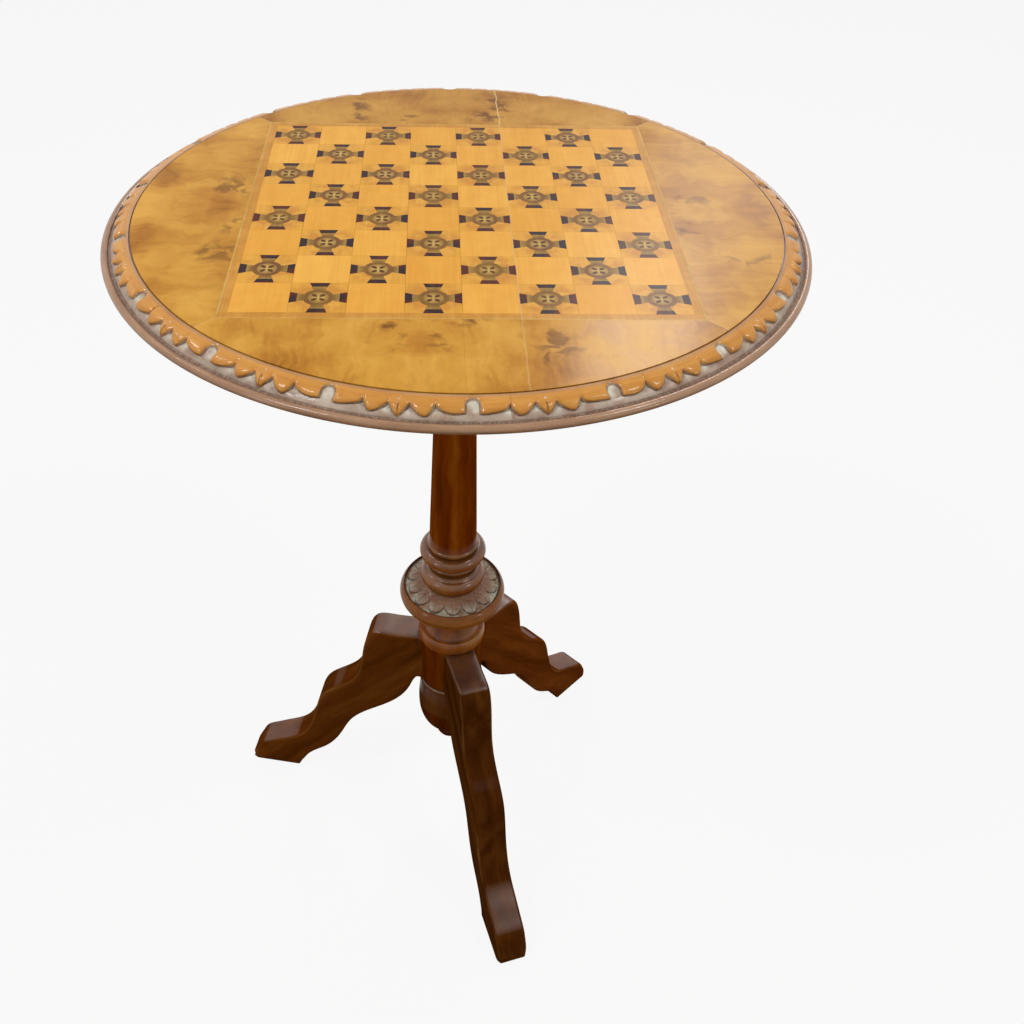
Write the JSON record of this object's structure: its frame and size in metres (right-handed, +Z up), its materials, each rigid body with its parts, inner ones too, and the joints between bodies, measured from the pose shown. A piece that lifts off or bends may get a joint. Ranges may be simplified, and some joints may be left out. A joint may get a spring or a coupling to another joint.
{
  "type": "tilt-top chess table",
  "caption": "Round tilt-top chess table with an inlaid board in a burr veneer field, a leaf-carved rim, a turned pillar and a tripod of sawn legs.",
  "frame": {"origin": "on the floor, on the pillar's axis under the centre of the top", "axes": "+Z up; the board's sides run along X and Y and its front faces -Y"},
  "size_m": [0.5128, 0.5128, 0.716],
  "materials": {
    "sawn_walnut": "dark French polish",
    "turned_walnut": "dark French polish",
    "carved_walnut": "polished, dust in the carving",
    "rim_walnut": "French polish, dust in the carving",
    "pine_core": "bare, darkened with age",
    "burr_walnut": "French polish",
    "satinwood": "French polish",
    "satinwood_banding": "French polish",
    "boxwood": "French polish",
    "olive_brown_inlay": "French polish",
    "rosewood": "French polish",
    "stained_birch": "stained",
    "brass": "aged",
    "screw_steel": "dull"
  },
  "bodies": {
    "base": {"leg_front": "sawn_walnut", "leg_right": "sawn_walnut", "leg_left": "sawn_walnut", "leg_hub": "turned_walnut", "turned_drop": "turned_walnut", "carved_collar": "carved_walnut", "pillar": "turned_walnut", "tenon_wedge": "stained_birch", "tilt_block": "stained_birch", "pivot_pin_front": "brass", "pivot_pin_back": "brass", "strike_plate": "brass", "strike_screws": "screw_steel"},
    "top": {"core_board_1": "pine_core", "core_board_2": "pine_core", "core_board_3": "pine_core", "core_board_4": "pine_core", "rim_segment_1": "rim_walnut", "rim_segment_2": "rim_walnut", "rim_segment_3": "rim_walnut", "rim_segment_4": "rim_walnut", "rim_segment_5": "rim_walnut", "rim_segment_6": "rim_walnut", "burr_veneer_front": "burr_walnut", "burr_veneer_right": "burr_walnut", "burr_veneer_back": "burr_walnut", "burr_veneer_left": "burr_walnut", "board_banding": "satinwood_banding", "board_stringing": "boxwood", "light_squares": "satinwood", "square_grounds": "satinwood", "star_bodies": "olive_brown_inlay", "star_crosses": "boxwood", "star_petals": "rosewood", "star_tips": "rosewood", "bearer_front": "stained_birch", "bearer_back": "stained_birch", "bearer_screws": "screw_steel", "catch_case": "brass", "catch_screws": "screw_steel"},
    "catch": {"catch_bolt": "brass", "catch_knob": "brass"}
  },
  "joints": [
    {"name": "top_tilt", "type": "hinge", "parent": "base", "child": "top", "pos_m": [0.058, 0, 0.6805], "axis": [0, 1, 0], "range_deg": [0, 90]},
    {"name": "catch_slide", "type": "slide", "parent": "top", "child": "catch", "axis": [1, 0, 0], "range_m": [0, 0.009]}
  ]
}
